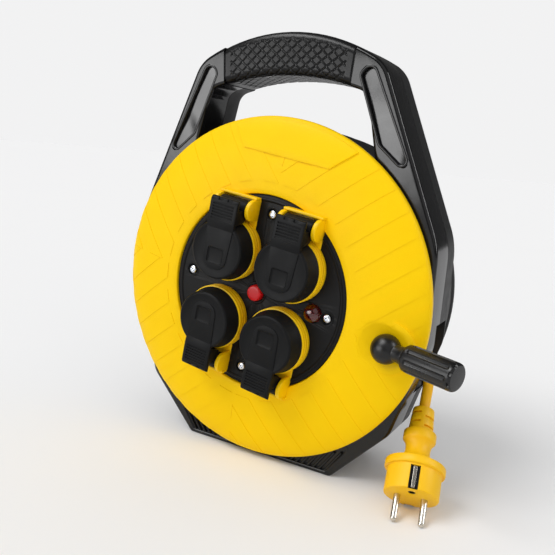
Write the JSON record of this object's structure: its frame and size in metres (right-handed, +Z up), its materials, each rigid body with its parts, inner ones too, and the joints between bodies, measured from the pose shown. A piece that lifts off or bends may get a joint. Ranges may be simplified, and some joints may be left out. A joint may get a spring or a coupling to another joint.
{
  "type": "extension cord reel",
  "caption": "Enclosed extension cord reel with a carrying handle, a turning drum face with covered earthed sockets, a folding winding crank and a lead with a moulded plug.",
  "frame": {"origin": "middle of the flat base, on the floor", "axes": "+Z up, +Y from the socket face to the back, +X to the right as seen from the socket face; the drum turns about a line along Y, 138 mm up"},
  "size_m": [0.299, 0.1284, 0.3331],
  "materials": {
    "black_shell": "moulded, semi-gloss",
    "black_rear": "moulded, fine satin",
    "grip_rubber": "soft, with a raised diamond pattern",
    "black_plate": "satin",
    "lid_rubber": "soft satin",
    "black_crank": "satin gloss",
    "yellow_plastic": "moulded, satin",
    "socket_yellow": "smooth satin",
    "cable_sheath": "smooth sheath",
    "plug_rubber": "moulded soft satin",
    "red_button": "smooth",
    "red_lens": "clear red",
    "zinc": "bright zinc",
    "steel": "turned",
    "nickel": "nickel plated",
    "brass": "stamped"
  },
  "bodies": {
    "housing": {"front_shell": "black_shell", "rear_shell": "black_rear", "handle_grip": "grip_rubber", "housing_screws": "zinc", "axle": "steel", "axle_washer": "steel", "axle_screw": "zinc", "cord_lead": "cable_sheath", "plug_body": "plug_rubber", "plug_boot": "plug_rubber", "plug_pins": "nickel", "plug_earth_clips": "nickel"},
    "reel": {"front_disc": "yellow_plastic", "socket_plate": "black_plate", "plate_screws": "zinc", "drum_barrel": "yellow_plastic", "rear_flange": "yellow_plastic", "barrel_screws": "zinc", "cable_core": "cable_sheath", "cable_outer_layer": "cable_sheath", "cutout_body": "black_plate", "lamp_base": "black_plate", "lamp_lens": "red_lens", "crank_pin": "steel", "socket_1": "socket_yellow", "contacts_1": "brass", "lid_pin_1": "steel", "socket_2": "socket_yellow", "contacts_2": "brass", "lid_pin_2": "steel", "socket_3": "socket_yellow", "contacts_3": "brass", "lid_pin_3": "steel", "socket_4": "socket_yellow", "contacts_4": "brass", "lid_pin_4": "steel"},
    "lid_1": {"lid_1": "lid_rubber"},
    "lid_2": {"lid_2": "lid_rubber"},
    "lid_3": {"lid_3": "lid_rubber"},
    "lid_4": {"lid_4": "lid_rubber"},
    "button": {"cutout_button": "red_button"},
    "crank": {"crank_stem": "black_crank"},
    "grip": {"crank_grip": "black_crank"}
  },
  "joints": [
    {"name": "reel_spin", "type": "hinge", "parent": "housing", "child": "reel", "pos_m": [0, 0, 0.138], "axis": [0, 1, 0], "continuous": true},
    {"name": "lid_1_hinge", "type": "hinge", "parent": "reel", "child": "lid_1", "pos_m": [-0.01868, -0.059, 0.20247], "axis": [-0.989, 0, 0.1478], "range_deg": [0, 90], "stiffness_Nm_per_rad": 0.012, "springref_deg": -34.38},
    {"name": "lid_2_hinge", "type": "hinge", "parent": "reel", "child": "lid_2", "pos_m": [0.03671, -0.059, 0.19419], "axis": [-0.989, 0, 0.1478], "range_deg": [0, 90], "stiffness_Nm_per_rad": 0.012, "springref_deg": -34.38},
    {"name": "lid_3_hinge", "type": "hinge", "parent": "reel", "child": "lid_3", "pos_m": [-0.03671, -0.059, 0.08181], "axis": [0.989, 0, -0.1478], "range_deg": [0, 90], "stiffness_Nm_per_rad": 0.012, "springref_deg": -34.38},
    {"name": "lid_4_hinge", "type": "hinge", "parent": "reel", "child": "lid_4", "pos_m": [0.01868, -0.059, 0.07353], "axis": [0.989, 0, -0.1478], "range_deg": [0, 90], "stiffness_Nm_per_rad": 0.012, "springref_deg": -34.38},
    {"name": "cutout_press", "type": "slide", "parent": "reel", "child": "button", "axis": [0, 1, 0], "range_m": [0, 0.002], "stiffness_N_per_m": 400, "springref_m": -0.001},
    {"name": "crank_fold", "type": "hinge", "parent": "reel", "child": "crank", "pos_m": [0.10791, -0.053, 0.11663], "axis": [-0.0576, 0, -0.9983], "range_deg": [0, 70]},
    {"name": "grip_spin", "type": "hinge", "parent": "crank", "child": "grip", "pos_m": [0.10791, -0.053, 0.11663], "axis": [0.9468, -0.3173, -0.0546], "continuous": true}
  ]
}
